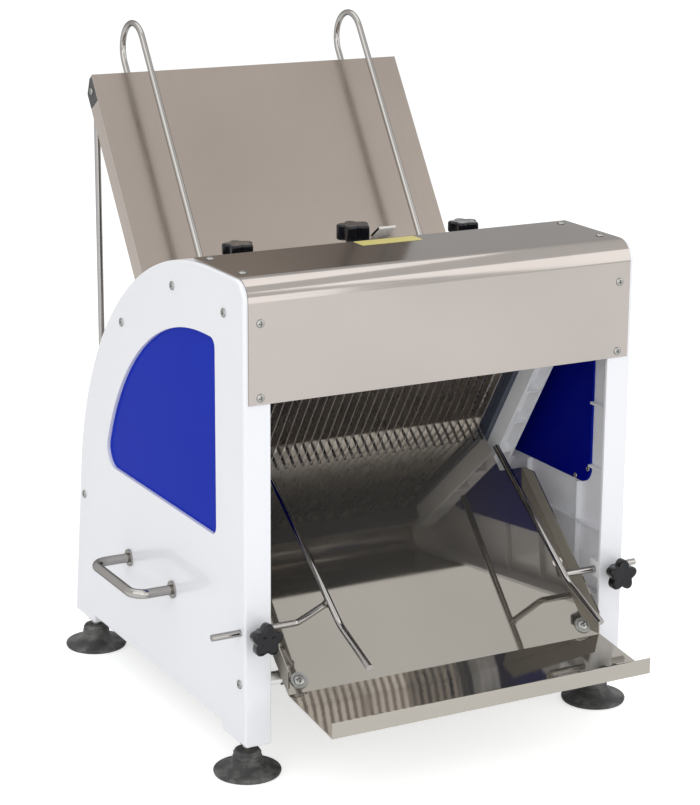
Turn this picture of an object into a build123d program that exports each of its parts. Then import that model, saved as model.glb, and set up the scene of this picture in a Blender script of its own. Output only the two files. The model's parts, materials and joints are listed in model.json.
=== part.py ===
from build123d import *
import os
from math import acos, atan2, cos, degrees, hypot, radians, sin, sqrt, tan

os.makedirs("parts", exist_ok=True)

# Driving dimensions, in millimetres and degrees.
# Distances to the rear are taken from the side panels' front face, heights from their underside.

# side panels
machine_width = 530.0
panel_thickness = 34.0
panel_height = 561.0
panel_wall = 4.5
panel_front_corner = 24.0
panel_crown_height = 159.0
panel_flat_top = 105.0
panel_rear_taper = 26.0
panel_edge_round = 3.5
pad_length = 64.0
pad_height = 10.0
rib_thickness = 3.0
rib_depth = 7.0

# coloured windows in the side panels
window_front = 76.0
window_margin = 80.0
window_corner = 12.0
window_plate_thickness = 3.0
window_plate_lap = 8.0

# sheet metal, with the apron's height
sheet = 1.5
cover_inset = 6.0
apron_height = 143.0
cover_top_depth = 146.0
cover_hem = 8.0

# blade set
front_room = 44.8
blade_meet_height = 275.0
blade_lean = 33.0
blade_pitch = 12.0
blade_width = 12.0
blade_thickness = 0.6
tooth_pitch = 10.0
tooth_depth = 2.4
stroke = 30.0
blade_bottom = -70.0
bar_depth = 17.0
bar_height = 14.0
bar_to_blade = 3.0
clip_width = 5.0
rail_gap = 1.5

# guide columns
column_width = 28.0
column_headroom = 47.0
blade_end = 23.0
column_front = 34.0
column_rear = 34.0
column_bottom = -72.0
column_pocket_pitch = 58.0
column_pocket_depth = 16.0
column_wall = 4.0

# infeed chute and its rod guides
chute_angle = 56.2
chute_flange = 28.0
chute_notch = 36.0
guide_height = 40.0
guide_bend = 36.0
guide_rise = 28.6
guide_back_leg = 70.0
guide_corner = 18.0

# bar that carries the infeed guides
infeed_bar_width = 44.0
infeed_bar_thickness = 4.0
infeed_slot_inner = 52.0
infeed_bar_drop = 60.0
infeed_guide_set_in = 71.0

# discharge tray
tray_flange = 20.0
valley_front = 23.0
valley_height = 67.0
tray_angle = 41.5
comb_depth = 34.0
comb_slot = 4.5
lip_reach = 132.0
lip_drop = 12.4
lip_flange = 18.0

# discharge guides
rod_diameter = 8.0
guide_axis_back = 12.0
guide_axis_height = 141.0
guide_bend_set_in = 45.0
guide_joint_inward = 26.0
guide_tail_out = 33.0
guide_joint_forward = 31.0
guide_joint_up = 32.0
guide_bar_angle = 36.0
guide_bar_up = 184.0
guide_bar_drop = 34.0
guide_bar_bend = 60.0
guide_tip = 77.0
guide_tip_angle = 21.0

# star knobs
knob_radius = 20.5
knob_lobe_count = 5
knob_valley = 11.0
knob_head = 14.0
knob_hub_radius = 9.0

# handles
handle_diameter = 12.0
handle_reach = 57.0
handle_height = 133.0
handle_back = 272.5
handle_span = 135.0
handle_corner = 18.0

# feet
foot_height = 45.0
foot_radius = 41.0
foot_hub_radius = 17.0
foot_stud_radius = 6.0
foot_set_in = 30.0

# tie rods between the panels
tie_radius = 8.0
front_tie_height = 76.0
crest_tie_back = 51.0
crest_tie_drop = 44.0
bar_fixing_ahead = 36.0
bar_fixing_up = 23.5
flange_end_gap = 45.0

# crank drive
crank_radius = 10.0
eccentric_rim = 3.0
conrod_length = 90.0
conrod_ring = 9.0
conrod_width = 8.0
eye_radius = 10.0
pin_radius = 5.0
lug_width = 8.0
driven_pulley_radius = 66.0
motor_pulley_radius = 28.0
belt_width = 10.0
belt_depth = 7.0
motor_axis_height = 92.0
motor_radius = 54.0
motor_length = 190.0
motor_shaft_radius = 7.0

# clearances
running = 0.05
slide_gap = 0.3
open_gap = 0.4
chute_gap = 6.0
tray_gap = 12.0
throat_gap_side = 11.0
blade_side_gap = 20.0
slot_end_gap = 27.0
belt_set_in = 55.0
belt_room = 8.0
rear_room = 17.0
rail_lead = 8.0

# Derived places
half_width = machine_width / 2
panel_inner = half_width - panel_thickness
wall_inner = half_width - panel_wall
rod_radius = rod_diameter / 2
throw = stroke / 2
column_inner = panel_inner - column_width
rail_inner = column_inner - rail_lead
chute_width = 2 * (panel_inner - chute_gap)
throat_width = 2 * (column_inner - throat_gap_side)
tray_width = 2 * (panel_inner - tray_gap)
belt_plane = panel_inner - belt_set_in
infeed_slot_outer = panel_inner - slot_end_gap
infeed_guide_offset = panel_inner - infeed_guide_set_in
guide_bend_offset = panel_inner - guide_bend_set_in
guide_joint_offset = guide_bend_offset - guide_joint_inward
guide_tail = half_width + guide_tail_out - guide_bend_offset
cover_apron_bottom = panel_height - apron_height
guide_run_height = panel_height - infeed_bar_drop
column_top = (panel_height - blade_meet_height - column_headroom) / cos(radians(blade_lean))
blade_top = column_top - blade_end
blade_meet_back = (
    front_room + column_top * sin(radians(blade_lean)) + column_front * cos(radians(blade_lean))
)
infeed_bar_back = blade_meet_back + 1.5
tray_shoulder_back = blade_meet_back - column_front - column_width
lug_drop = stroke + eye_radius + bar_height / 2 + 1
crank_below_meet = lug_drop + conrod_length - blade_bottom

# blades on both sides of the middle, in turn for the front and the rear frame
blade_gaps = 2 * int((column_inner - blade_side_gap) // blade_pitch)
blade_places = [blade_pitch * (i - blade_gaps / 2) for i in range(blade_gaps + 1)]
front_places = blade_places[0::2]
rear_places = blade_places[1::2]
front_lug_place = -front_places[2]
rear_lug_place = -rear_places[3]

# the motor stands behind the crank, and the panel is as deep as the motor or its own crown needs
pulley_rim = belt_depth + 2
crank_back = blade_meet_back + crank_below_meet * sin(radians(blade_lean))
motor_back = crank_back + driven_pulley_radius + motor_pulley_radius + 2 * pulley_rim + belt_room
panel_crown_radius = panel_height - panel_crown_height
motor_need = motor_back + motor_radius + rear_room
panel_depth = max(motor_need, panel_flat_top + panel_crown_radius + panel_rear_taper)
panel_crown_start = panel_depth - panel_crown_radius - panel_rear_taper
chute_top_back = panel_depth - 1
chute_length = (chute_top_back - blade_meet_back) / cos(radians(chute_angle))
chute_top_height = blade_meet_height + chute_length * sin(radians(chute_angle))


def unit(angle):
    return Vector(cos(radians(angle)), sin(radians(angle)))


# the chute's line, in (back, height), and the direction square to it
chute_up = unit(chute_angle)
chute_out = Vector(-chute_up.Y, chute_up.X)
chute_top = Vector(chute_top_back, chute_top_height)


def on_chute(run, out):
    return chute_top - chute_up * run + chute_out * out


# the hairpin at the top of an infeed guide sets the rear reach, the tray's lip the front reach
hairpin_centre = on_chute(-guide_rise, guide_height - guide_bend)
rear_reach = hairpin_centre.X + guide_bend + rod_radius
front_y = (lip_reach - rear_reach) / 2
base_z = foot_height


def side(x):
    # plane across the machine: local x runs to the rear, local y runs up
    return Plane(origin=(x, front_y, base_z), x_dir=(0, 1, 0), z_dir=(1, 0, 0))


def level(height):
    # level plane: local x runs right, local y runs to the rear
    return Plane(origin=(0, front_y, base_z + height))


def upright(back):
    # upright plane facing the front: local x runs right, local y runs up
    return Plane(origin=(0, front_y + back, base_z), x_dir=(1, 0, 0), z_dir=(0, -1, 0))


# the blade line leans to the front: along it runs up, square to it runs to the rear
lean_up = Vector(-sin(radians(blade_lean)), cos(radians(blade_lean)))
lean_back = Vector(lean_up.Y, -lean_up.X)
blade_meet = Vector(blade_meet_back, blade_meet_height)


def on_blade(along, back):
    return blade_meet + lean_up * along + lean_back * back


def in_frame(x, point):
    return Vector(x, front_y + point.X, base_z + point.Y)


def blade_side(x):
    # plane across the machine: local x runs square to the blades, local y runs up along them
    return Plane(origin=in_frame(x, blade_meet), x_dir=(0, lean_back.X, lean_back.Y), z_dir=(1, 0, 0))


def blade_cross(along):
    # plane square to the blades: local x runs right, local y runs to the rear
    return Plane(
        origin=in_frame(0, on_blade(along, 0)), x_dir=(1, 0, 0), z_dir=(0, lean_up.X, lean_up.Y)
    )


def chute_face(out):
    # plane of the chute: local x runs right, local y runs up the chute from its top edge
    return Plane(
        origin=in_frame(0, on_chute(0, out)), x_dir=(1, 0, 0), z_dir=(0, chute_out.X, chute_out.Y)
    )


def save(part, name):
    part.label = name
    export_step(part, f"parts/{name}.step")


def mirrored(part):
    with BuildPart() as twin:
        mirror(part, about=Plane.YZ)
    return twin.part


# Side panel outline, with its crown arc and the straight rear edge that meets it
crown = Vector(panel_crown_start, panel_crown_height)
heel = Vector(panel_depth, 0)
to_heel = heel - crown
reach = hypot(to_heel.X, to_heel.Y)
heel_angle = degrees(atan2(to_heel.Y, to_heel.X)) + degrees(acos(panel_crown_radius / reach))
crown_end = crown + unit(heel_angle) * panel_crown_radius
crown_mid = crown + unit((heel_angle + 90) / 2) * panel_crown_radius
rear_down = (heel - crown_end).normalized()

# Places of the tie rods, which the screws in the side panels hold
tie_inset = 18.0
chute_tie_run = 207.0
eye_height = rod_diameter + 1.0
infeed_bar_top = guide_run_height - eye_height / 2
front_tie = Vector(panel_wall + tie_radius + 1.5, front_tie_height)
crest_tie = Vector(crest_tie_back, panel_height - crest_tie_drop)
rear_tie = crown_end - unit(heel_angle) * tie_inset + rear_down * 2 * tie_inset
chute_tie = on_chute(chute_length - chute_tie_run, -(sheet + tie_radius + slide_gap))
bar_fixing = Vector(infeed_bar_back - bar_fixing_ahead, infeed_bar_top + bar_fixing_up)
chute_flange_run = chute_length - chute_tie_run - tie_radius - flange_end_gap
tie_places = [front_tie, crest_tie, rear_tie, chute_tie]
screw_places = tie_places + [bar_fixing]
screw_radius = 4.0
screw_head_radius = 5.5
screw_head = 2.5
screw_depth = 14.0

crank = on_blade(-crank_below_meet, 0)
bearing_half = 28.0
bearing_depth = 26.0

with BuildSketch() as panel_outline:
    with BuildLine():
        Line((0, 0), (0, panel_height - panel_front_corner))
        RadiusArc(
            (0, panel_height - panel_front_corner), (panel_front_corner, panel_height), panel_front_corner
        )
        Line((panel_front_corner, panel_height), (panel_crown_start, panel_height))
        ThreePointArc((panel_crown_start, panel_height), crown_mid, crown_end)
        Line(crown_end, heel)
        Polyline(
            heel,
            (panel_depth - pad_length, 0),
            (panel_depth - pad_length - pad_height / 2, pad_height),
            (pad_length + pad_height / 2, pad_height),
            (pad_length, 0),
            (0, 0),
        )
    make_face()

# Blocks inside the panel that carry the columns and the discharge guide
column_pad = 18.0
upper_pad = on_blade(column_top - 0.6 * column_pad, 0)
lower_pad = on_blade(column_bottom + 0.3 * column_pad, 0)
# Window outline, parallel to the crown of the panel
window_radius = panel_crown_radius - window_margin
window_top = panel_height - window_margin
window_bottom = lower_pad.Y + 0.7 * column_pad + window_plate_lap + 1
window_rear = panel_crown_start + sqrt(window_radius**2 - (window_bottom - panel_crown_height) ** 2)
window_mid_angle = 45.0

with BuildSketch() as window_outline:
    with BuildLine():
        Polyline(
            (window_rear, window_bottom),
            (window_front, window_bottom),
            (window_front, window_top),
            (panel_crown_start, window_top),
        )
        ThreePointArc(
            (panel_crown_start, window_top),
            crown + unit(window_mid_angle) * window_radius,
            (window_rear, window_bottom),
        )
    make_face()
    fillet(window_outline.vertices().group_by(Axis.X)[0], window_corner)
    fillet(window_outline.vertices().sort_by(Axis.X)[-1], window_corner * 2)

with BuildSketch() as window_plate_outline:
    add(window_outline.sketch)
    offset(amount=window_plate_lap)

guide_block_depth = 22.0
guide_block_height = 22.0

# inside ribs: heights of the level ribs, and places of the upright ones
level_ribs = [94.0, 180.0]
edge_ribs = [259.0, 342.0]
upright_ribs = [92.0, 210.0, 400.0]

with BuildPart() as left_side_panel:
    with BuildSketch(side(-half_width)):
        add(panel_outline.sketch)
    extrude(amount=panel_thickness)
    fillet(left_side_panel.faces().sort_by(Axis.X)[0].edges(), panel_edge_round)
    with BuildSketch(side(-wall_inner)):
        add(panel_outline.sketch)
        offset(amount=-panel_wall, kind=Kind.INTERSECTION)
    extrude(amount=panel_thickness, mode=Mode.SUBTRACT)
    # ribs on the inside of the outer wall, kept clear of the window plate
    with BuildSketch(side(-wall_inner)) as ribs:
        for rib in level_ribs:
            with Locations((panel_depth / 2, rib)):
                Rectangle(panel_depth, rib_thickness)
        for rib in edge_ribs:
            with Locations((window_front / 2, rib)):
                Rectangle(window_front, rib_thickness)
        for rib in upright_ribs:
            with Locations((rib, window_bottom / 2)):
                Rectangle(rib_thickness, window_bottom)
        offset(window_plate_outline.sketch, amount=1, mode=Mode.SUBTRACT)
        add(panel_outline.sketch, mode=Mode.INTERSECT)
    extrude(amount=rib_depth)
    # blocks for the columns, the bearing and the discharge guide
    with BuildSketch(side(-wall_inner)):
        for pad in (upper_pad, lower_pad):
            with Locations(pad):
                Rectangle(column_pad, column_pad, rotation=blade_lean)
        with Locations((guide_block_depth / 2, guide_axis_height)):
            Rectangle(guide_block_depth, guide_block_height)
    extrude(amount=panel_thickness - panel_wall)
    with BuildSketch(side(-half_width)):
        add(window_outline.sketch)
    extrude(amount=panel_wall, mode=Mode.SUBTRACT)
    # bore for the discharge guide and the hole for its clamp stud
    with BuildSketch(side(-half_width)):
        with Locations((guide_axis_back, guide_axis_height)):
            Circle(rod_radius + running)
    extrude(amount=panel_thickness, mode=Mode.SUBTRACT)
    with BuildSketch(upright(0)):
        with Locations((-half_width + panel_thickness / 2, guide_axis_height)):
            Circle(rod_radius + running)
    extrude(amount=-guide_axis_back, mode=Mode.SUBTRACT)
    # screw holes, and the room that the bearing block takes between the ribs
    with BuildSketch(side(-half_width)):
        with Locations(*screw_places):
            Circle(screw_radius + running)
    extrude(amount=panel_wall, mode=Mode.SUBTRACT)
    with BuildSketch(side(-wall_inner)):
        with Locations(crank):
            Rectangle(2 * bearing_half + 1, 2 * bearing_half + 1)
        with Locations(*tie_places):
            Circle(tie_radius + open_gap)
    extrude(amount=panel_thickness, mode=Mode.SUBTRACT)

save(left_side_panel.part, "left_side_panel")
save(mirrored(left_side_panel.part), "right_side_panel")

with BuildPart() as left_window_plate:
    with BuildSketch(side(-wall_inner)):
        add(window_plate_outline.sketch)
    extrude(amount=window_plate_thickness)

save(left_window_plate.part, "left_window_plate")
save(mirrored(left_window_plate.part), "right_window_plate")

# Screws that hold each window plate from the inside
window_screw_radius = 3.5
window_screw_head = 2.0
window_screw_places = [
    Vector(window_front - window_plate_lap / 2, window_bottom + window_corner),
    Vector(window_front - window_plate_lap / 2, window_top - window_corner),
    Vector(window_front + 2 * window_corner, window_bottom - window_plate_lap / 2),
    Vector(window_rear - 5 * window_corner, window_bottom - window_plate_lap / 2),
]

with BuildPart() as window_screws:
    with BuildSketch(side(-wall_inner + window_plate_thickness)):
        with Locations(*window_screw_places):
            Circle(window_screw_radius)
    extrude(amount=window_screw_head)
    mirror(about=Plane.YZ)

save(window_screws.part, "window_screws")

# Tie rods, and the screws through the side panels into their ends
with BuildPart() as tie_rods:
    with BuildSketch(side(-wall_inner)):
        with Locations(*tie_places):
            Circle(tie_radius)
    extrude(amount=2 * wall_inner)
    for end in (-1, 1):
        with BuildSketch(side(end * wall_inner)):
            with Locations(*tie_places):
                Circle(screw_radius + running)
        extrude(amount=-end * screw_depth, mode=Mode.SUBTRACT)

save(tie_rods.part, "tie_rods")

with BuildPart() as panel_screws:
    with BuildSketch(side(-half_width - screw_head)):
        with Locations(*screw_places):
            Circle(screw_head_radius)
    extrude(amount=screw_head)
    with BuildSketch(side(-half_width)):
        with Locations(*tie_places):
            Circle(screw_radius)
    extrude(amount=panel_wall + screw_depth - slide_gap)
    with BuildSketch(side(-half_width)):
        with Locations(bar_fixing):
            Circle(screw_radius)
    extrude(amount=panel_thickness - slide_gap)
    mirror(about=Plane.YZ)

save(panel_screws.part, "panel_screws")

# Sheet cover over the front and top of the blade frames
cover_half = half_width - cover_inset

with BuildPart() as top_cover:
    with BuildSketch(side(-cover_half)):
        with BuildLine():
            outer = FilletPolyline(
                (-sheet, cover_apron_bottom),
                (-sheet, panel_height + sheet),
                (cover_top_depth, panel_height + sheet),
                radius=panel_front_corner + sheet,
            )
            inner = FilletPolyline(
                (0, cover_apron_bottom),
                (0, panel_height),
                (cover_top_depth, panel_height),
                radius=panel_front_corner,
            )
            Line(outer @ 0, inner @ 0)
            Line(outer @ 1, inner @ 1)
        make_face()
    extrude(amount=2 * cover_half)
    # turned-down hem along the rear edge, between the panels
    with BuildSketch(side(-panel_inner + 1)):
        with Locations((cover_top_depth, panel_height)):
            Rectangle(sheet, cover_hem, align=(Align.MAX, Align.MAX))
    extrude(amount=2 * (panel_inner - 1))

save(top_cover.part, "top_cover")

cover_screw_radius = 5.0
cover_screw_head = 2.0
cover_screw_side = half_width - panel_thickness / 2 - 4
cover_screw_heights = [cover_apron_bottom + 8, panel_height - 48]
cover_screw_backs = [45.0, 132.0]

with BuildPart() as cover_screws:
    with BuildSketch(upright(-sheet)):
        with Locations(*[(x, z) for x in (-cover_screw_side, cover_screw_side) for z in cover_screw_heights]):
            Circle(cover_screw_radius)
    extrude(amount=cover_screw_head)
    with BuildSketch(level(panel_height + sheet)):
        with Locations(*[(x, y) for x in (-cover_screw_side, cover_screw_side) for y in cover_screw_backs]):
            Circle(cover_screw_radius)
    extrude(amount=cover_screw_head)

save(cover_screws.part, "cover_screws")

# Infeed chute: its run down to the blades, its side flanges and the return along its top edge
chute_square = lean_back.X * chute_up.X + lean_back.Y * chute_up.Y
chute_to_blade = (chute_top - blade_meet).dot(lean_back) / chute_square
throat_gap = blade_width / 2 + 4
throat_run = chute_to_blade - throat_gap / chute_square
shoulder_run = chute_to_blade - (column_rear + 8) / chute_square
return_depth = guide_bend * 2 - guide_height - rod_radius - slide_gap
bracket_width = 18.0
return_half = chute_width / 2 - bracket_width - 2

with BuildPart() as infeed_chute:
    with BuildSketch(chute_face(0)):
        with Locations((0, 0)):
            Rectangle(chute_width, shoulder_run, align=(Align.CENTER, Align.MAX))
        with Locations((0, -shoulder_run)):
            Rectangle(throat_width, throat_run - shoulder_run, align=(Align.CENTER, Align.MAX))
    extrude(amount=-sheet)
    with BuildSketch(chute_face(0)):
        for edge in (-1, 1):
            with Locations((edge * (chute_width - sheet) / 2, -chute_notch)):
                Rectangle(sheet, chute_flange_run - chute_notch, align=(Align.CENTER, Align.MAX))
    extrude(amount=-chute_flange)
    with BuildSketch(chute_face(0)):
        Rectangle(2 * return_half, sheet, align=(Align.CENTER, Align.MAX))
    extrude(amount=-return_depth)

save(infeed_chute.part, "infeed_chute")

# Brackets in the chute's top corners and the upright stays under them
stay_radius = 4.0
stay_side = chute_width / 2 - sheet - stay_radius - slide_gap
stay_back = chute_top_back - 1
stay_foot_height = 48.0
stay_socket = 10.0
bracket_outer = chute_width / 2
bracket_foot = on_chute(chute_notch - 1, 0)
stay_depth = (stay_back - bracket_foot.X) / chute_up.Y
stay_top = (bracket_foot - chute_out * stay_depth).Y

with BuildPart() as chute_brackets:
    with BuildSketch(side(-bracket_outer)):
        with BuildLine():
            Polyline(
                on_chute(1, -sheet),
                on_chute(chute_notch - 1, -sheet),
                on_chute(chute_notch - 1, -chute_flange),
                on_chute(14, -chute_flange),
                on_chute(1, -10),
                close=True,
            )
        make_face()
    extrude(amount=bracket_width)
    with BuildSketch(level(stay_top - stay_socket)):
        with Locations((-stay_side, stay_back)):
            Circle(stay_radius + running)
    extrude(amount=2 * stay_socket, mode=Mode.SUBTRACT)
    mirror(about=Plane.YZ)

save(chute_brackets.part, "chute_brackets")

with BuildPart() as stay_rods:
    with BuildSketch(level(stay_foot_height)):
        with Locations((-stay_side, stay_back), (stay_side, stay_back)):
            Circle(stay_radius)
    extrude(amount=stay_top + stay_socket - slide_gap - stay_foot_height)

save(stay_rods.part, "stay_rods")

stay_block_length = 40.0
stay_block_height = 14.0
stay_block_width = 20.0

with BuildPart() as stay_brackets:
    with BuildSketch(level(stay_foot_height - stay_block_height / 2)):
        with Locations((-panel_inner, stay_back + 2 * stay_radius)):
            Rectangle(stay_block_width, stay_block_length, align=(Align.MIN, Align.MAX))
    extrude(amount=stay_block_height)
    with BuildSketch(level(stay_foot_height)):
        with Locations((-stay_side, stay_back)):
            Circle(stay_radius + running)
    extrude(amount=stay_block_height, mode=Mode.SUBTRACT)
    mirror(about=Plane.YZ)

save(stay_brackets.part, "stay_brackets")

# Infeed guide: a rod that lies over the chute, turns over its top edge and runs to the guide bar
leg_foot = on_chute((chute_top_height + guide_height * chute_up.X - guide_run_height) / chute_up.Y, guide_height)
leg_top = on_chute(-guide_rise, guide_height)
hairpin_top = hairpin_centre + chute_up * guide_bend
back_top = on_chute(-guide_rise, guide_height - 2 * guide_bend)
back_foot = on_chute(guide_back_leg - guide_rise, guide_height - 2 * guide_bend)
eye_disc_radius = 10.0
eye_bottom = guide_run_height - eye_height / 2
eye_top = guide_run_height + eye_height / 2


def infeed_guide(x):
    with BuildPart() as guide:
        with BuildLine() as path:
            FilletPolyline(
                in_frame(x, Vector(infeed_bar_back, guide_run_height)),
                in_frame(x, leg_foot),
                in_frame(x, leg_top),
                radius=guide_corner,
            )
            ThreePointArc(in_frame(x, leg_top), in_frame(x, hairpin_top), in_frame(x, back_top))
            Line(in_frame(x, back_top), in_frame(x, back_foot))
        with BuildSketch(Plane(origin=path.wire() @ 0, z_dir=path.wire() % 0)):
            Circle(rod_radius)
        sweep(path=path.wire())
        with BuildSketch(level(eye_bottom)):
            with Locations((x, infeed_bar_back)):
                Circle(eye_disc_radius)
        extrude(amount=eye_height)
        with BuildSketch(level(eye_bottom)):
            with Locations((x, infeed_bar_back)):
                Circle(rod_radius + running)
        extrude(amount=eye_height, mode=Mode.SUBTRACT)
    return guide.part


save(infeed_guide(-infeed_guide_offset), "left_infeed_guide")
save(infeed_guide(infeed_guide_offset), "right_infeed_guide")

# Slotted bar between the panels that carries the infeed guides
infeed_tab_height = 36.0
infeed_slot_length = infeed_slot_outer - infeed_slot_inner
infeed_slot_width = rod_diameter + 1.0
infeed_bar_low = infeed_bar_top - infeed_bar_thickness

with BuildPart() as infeed_bar:
    with BuildSketch(level(infeed_bar_low)):
        with Locations((0, infeed_bar_back)):
            Rectangle(2 * panel_inner, infeed_bar_width)
        with Locations(
            ((infeed_slot_inner + infeed_slot_outer) / 2, infeed_bar_back),
            (-(infeed_slot_inner + infeed_slot_outer) / 2, infeed_bar_back),
        ):
            SlotOverall(infeed_slot_length, infeed_slot_width, mode=Mode.SUBTRACT)
        with Locations((0, infeed_bar_back)):
            Circle(rod_radius + running, mode=Mode.SUBTRACT)
    extrude(amount=infeed_bar_thickness)
    tab_front = bar_fixing.X - 2 * screw_radius
    tab_rear = infeed_bar_back + infeed_bar_width / 2
    with BuildSketch(side(-panel_inner)):
        with Locations((tab_front, infeed_bar_low)):
            Rectangle(tab_rear - tab_front, infeed_tab_height, align=(Align.MIN, Align.MIN))
    extrude(amount=infeed_bar_thickness)
    with BuildSketch(side(panel_inner)):
        with Locations((tab_front, infeed_bar_low)):
            Rectangle(tab_rear - tab_front, infeed_tab_height, align=(Align.MIN, Align.MIN))
    extrude(amount=-infeed_bar_thickness)

save(infeed_bar.part, "infeed_bar")


def star_knob(face, hub_length, stud_length, head=knob_head, radius=knob_radius):
    # a moulded star head on a hub, with a stud that points back along the plane's normal
    with BuildPart() as knob:
        with BuildSketch(face.offset(hub_length)) as star:
            Circle(radius)
            with PolarLocations(radius + knob_valley / 2, knob_lobe_count, start_angle=90 + 180 / knob_lobe_count):
                Circle(knob_valley, mode=Mode.SUBTRACT)
            fillet(star.vertices(), radius / 6)
        extrude(amount=head)
        with BuildSketch(face):
            Circle(knob_hub_radius)
        extrude(amount=hub_length)
        with BuildSketch(face):
            Circle(rod_radius)
        extrude(amount=-stud_length)
    return knob.part


# Knobs that clamp the infeed guides, with their studs down through the bar's slots
infeed_hub = 36.0
infeed_stud = eye_height + infeed_bar_thickness + 6


def infeed_knob(x):
    seat = Plane(origin=(x, front_y + infeed_bar_back, base_z + eye_top + slide_gap))
    return star_knob(seat, infeed_hub, infeed_stud)


save(infeed_knob(-infeed_guide_offset), "left_infeed_knob")
save(infeed_knob(infeed_guide_offset), "right_infeed_knob")

# Height stop in the middle of the bar: a bent plate that slides under its own knob
stop_thickness = 3.0
stop_left = -24.0
stop_right = 48.0
stop_tab_width = 24.0
stop_post = 42.0
stop_tab_length = 44.0
stop_tab_angle = 146.0
stop_travel = 6.0
stop_front = infeed_bar_back - infeed_bar_width / 2 + stop_travel + 2
stop_rear = infeed_bar_back + infeed_bar_width / 2 - stop_travel
stop_hub = 46.0
stop_head = 20.0
stop_knob_radius = 22.0
stop_tip = unit(stop_tab_angle)
stop_face = Vector(stop_tip.Y, -stop_tip.X)
stop_bend = Vector(stop_rear, infeed_bar_top + stop_post)

with BuildPart() as height_stop:
    with BuildSketch(level(infeed_bar_top)):
        with Locations((stop_left, stop_front)):
            Rectangle(stop_right - stop_left, stop_rear - stop_front, align=(Align.MIN, Align.MIN))
        with Locations((0, infeed_bar_back)):
            SlotOverall(
                2 * (stop_travel + rod_radius) + 1, rod_diameter + 1, rotation=90, mode=Mode.SUBTRACT
            )
    extrude(amount=stop_thickness)
    with BuildSketch(side(stop_right - stop_tab_width)):
        with BuildLine():
            Polyline(
                (stop_rear - stop_thickness, infeed_bar_top),
                (stop_rear, infeed_bar_top),
                stop_bend,
                stop_bend + stop_tip * stop_tab_length,
                stop_bend + stop_tip * stop_tab_length - stop_face * stop_thickness,
                stop_bend + Vector(-stop_thickness, -stop_thickness),
                close=True,
            )
        make_face()
    extrude(amount=stop_tab_width)

save(height_stop.part, "height_stop")

stop_seat = Plane(
    origin=(0, front_y + infeed_bar_back, base_z + infeed_bar_top + stop_thickness + slide_gap)
)
stop_stud = stop_thickness + slide_gap + infeed_bar_thickness + 6
save(star_knob(stop_seat, stop_hub, stop_stud, stop_head, stop_knob_radius), "height_stop_knob")

# Discharge tray: lip, valley, slide and a comb of fingers between the blades
valley = Vector(-valley_front, valley_height)
lip_edge = Vector(-lip_reach, valley_height - lip_drop)
slide_up = unit(tray_angle)
slide_out = Vector(-slide_up.Y, slide_up.X)
finger_over = blade_width / 2 + 3
slide_square = slide_up.dot(lean_back)
slide_run = ((blade_meet - valley).dot(lean_back) + finger_over) / slide_square
slide_end = valley + slide_up * slide_run
shoulder = valley + slide_up * ((tray_shoulder_back + valley_front) / slide_up.X)
neck_half = blade_pitch * blade_gaps / 2 + 4
tray_half = tray_width / 2


def tray_plane(point, out):
    place = point + slide_out * out
    return Plane(origin=in_frame(0, place), x_dir=(1, 0, 0), z_dir=(0, slide_out.X, slide_out.Y))


lip_up = (valley - lip_edge).normalized()

# corners of the lip's upturned front edge
lip_inside = lip_edge + lip_up * (sheet / lip_up.X)
lip_underside = lip_edge - Vector(0, sheet / lip_up.X)
lip_rim = lip_edge + Vector(0, lip_flange)


def slide_line(depth):
    # the slide from the valley to the shoulder, at a depth below its upper face
    Line(valley - slide_out * depth, shoulder - slide_out * depth)


with BuildPart() as discharge_tray:
    # the sheet below the shoulder, as wide as the mouth
    with BuildSketch(side(-tray_half)):
        with BuildLine():
            slide_line(0)
            slide_line(sheet)
            Line(shoulder, shoulder - slide_out * sheet)
            Polyline(valley, lip_inside, lip_rim + Vector(sheet, 0), lip_rim, lip_underside, valley - slide_out * sheet)
        make_face()
    extrude(amount=tray_width)
    # upturned sides of the slide
    for edge in (-1, 1):
        with BuildSketch(side(edge * tray_half)):
            with BuildLine():
                slide_line(sheet / 2)
                Polyline(
                    shoulder - slide_out * sheet / 2,
                    shoulder + slide_out * sheet,
                    shoulder + slide_out * tray_flange - slide_up * tray_flange,
                    valley + (slide_up + slide_out) * tray_flange,
                    valley - slide_out * sheet / 2,
                )
            make_face()
        extrude(amount=-edge * sheet)
    # the narrow neck between the columns, with open slots for the blades
    with BuildSketch(tray_plane(shoulder, 0)):
        neck = (slide_end - shoulder).length
        Rectangle(2 * neck_half, neck, align=(Align.CENTER, Align.MIN))
        with Locations(*[(x, neck - comb_depth) for x in blade_places]):
            Rectangle(comb_slot, comb_depth, align=(Align.CENTER, Align.MIN), mode=Mode.SUBTRACT)
    extrude(amount=-sheet)

save(discharge_tray.part, "discharge_tray")

# Screws and brackets that hold the tray on the front tie rod
tray_screw_side = tray_half - 19
tray_screw_radius = 11.0
tray_screw_head = 3.5
tray_screw_run = 16.0
tray_screw_place = valley + slide_up * tray_screw_run
tray_seat = Plane(
    origin=in_frame(0, tray_screw_place), x_dir=(1, 0, 0), z_dir=(0, slide_out.X, slide_out.Y)
)

with BuildPart() as tray_screws:
    with BuildSketch(tray_seat):
        with Locations((-tray_screw_side, 0), (tray_screw_side, 0)):
            Circle(tray_screw_radius)
    extrude(amount=tray_screw_head, taper=20)

save(tray_screws.part, "tray_screws")

bracket_plate = 22.0
tie_under = tray_screw_place - slide_out * sheet

with BuildPart() as tray_brackets:
    for x in (-tray_screw_side, tray_screw_side):
        with BuildSketch(side(x - bracket_plate / 2)):
            with BuildLine():
                Polyline(
                    tie_under - slide_up * 8,
                    tie_under + slide_up * 26,
                    front_tie + Vector(tie_radius + 4, 0),
                    front_tie + Vector(0, -tie_radius - 3),
                    front_tie + Vector(-tie_radius - 4, -4),
                    close=True,
                )
            make_face()
            with Locations(front_tie):
                Circle(tie_radius + running, mode=Mode.SUBTRACT)
        extrude(amount=bracket_plate)

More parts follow.
